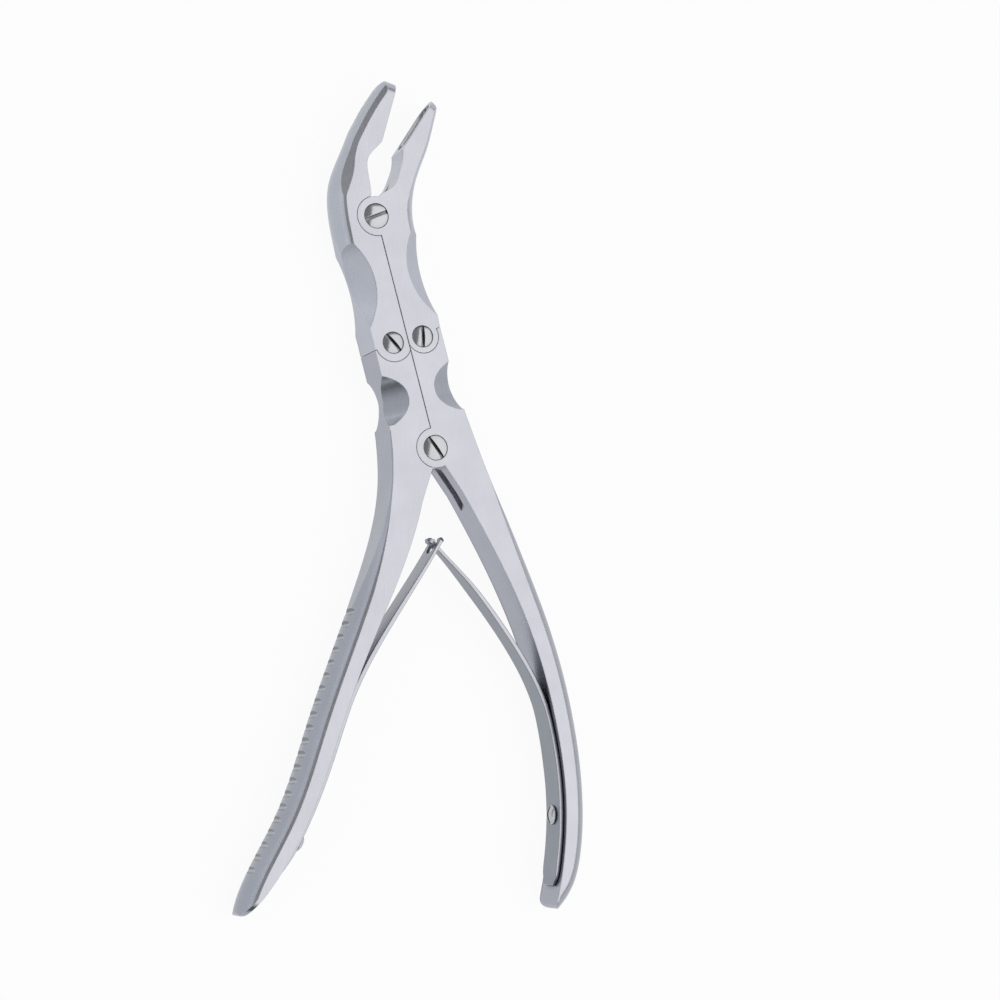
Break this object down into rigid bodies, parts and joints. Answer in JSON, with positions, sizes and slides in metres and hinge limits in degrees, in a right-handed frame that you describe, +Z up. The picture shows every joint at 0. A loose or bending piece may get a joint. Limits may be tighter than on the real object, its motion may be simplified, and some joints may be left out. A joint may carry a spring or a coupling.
{
  "type": "bone rongeur",
  "caption": "Double-action bone rongeur with curved cupped jaws, a four-pivot compound linkage, bowed grips and crossing leaf springs.",
  "frame": {"origin": "centre of the bounding box's underside, on the surface that the instrument lies on", "axes": "+Y from the grips towards the jaws, +X to the right seen from the front, where the screw heads are, and +Z up out of the table"},
  "size_m": [0.094, 0.2169, 0.0125],
  "materials": {
    "jaw_steel": "satin",
    "handle_steel": "satin",
    "screw_steel": "fine turned",
    "spring_steel": "rolled"
  },
  "bodies": {
    "right_handle": {"right_handle": "handle_steel", "handle_pivot_screw": "screw_steel", "right_spring_leaf": "spring_steel", "right_spring_screw": "screw_steel"},
    "left_handle": {"left_handle": "handle_steel", "left_spring_leaf": "spring_steel", "left_spring_screw": "screw_steel"},
    "right_jaw_lever": {"right_jaw_lever": "jaw_steel", "jaw_pivot_screw": "screw_steel", "right_link_screw": "screw_steel"},
    "left_jaw_lever": {"left_jaw_lever": "jaw_steel", "left_link_screw": "screw_steel"}
  },
  "joints": [
    {"name": "handle_squeeze", "type": "hinge", "parent": "right_handle", "child": "left_handle", "pos_m": [0.00387, 0.01104, 0.0062], "axis": [0, 0, 1], "range_deg": [0, 18.99], "stiffness_Nm_per_rad": 1.5, "springref_deg": -11.46, "deforming": ["left_spring_leaf", "right_spring_leaf"]},
    {"name": "right_link", "type": "hinge", "parent": "right_handle", "child": "right_jaw_lever", "pos_m": [0.00017, 0.04011, 0.0062], "axis": [0, 0, 1], "range_deg": [0, 17.75]},
    {"name": "jaw_pivot", "type": "hinge", "parent": "right_jaw_lever", "child": "left_jaw_lever", "pos_m": [-0.01276, 0.07101, 0.0062], "axis": [0, 0, 1], "range_deg": [-16.51, 0]}
  ],
  "couplings": [
    {"joint": "right_link", "follows": "handle_squeeze", "ratio": 0.93447},
    {"joint": "jaw_pivot", "follows": "handle_squeeze", "ratio": -0.86894}
  ]
}
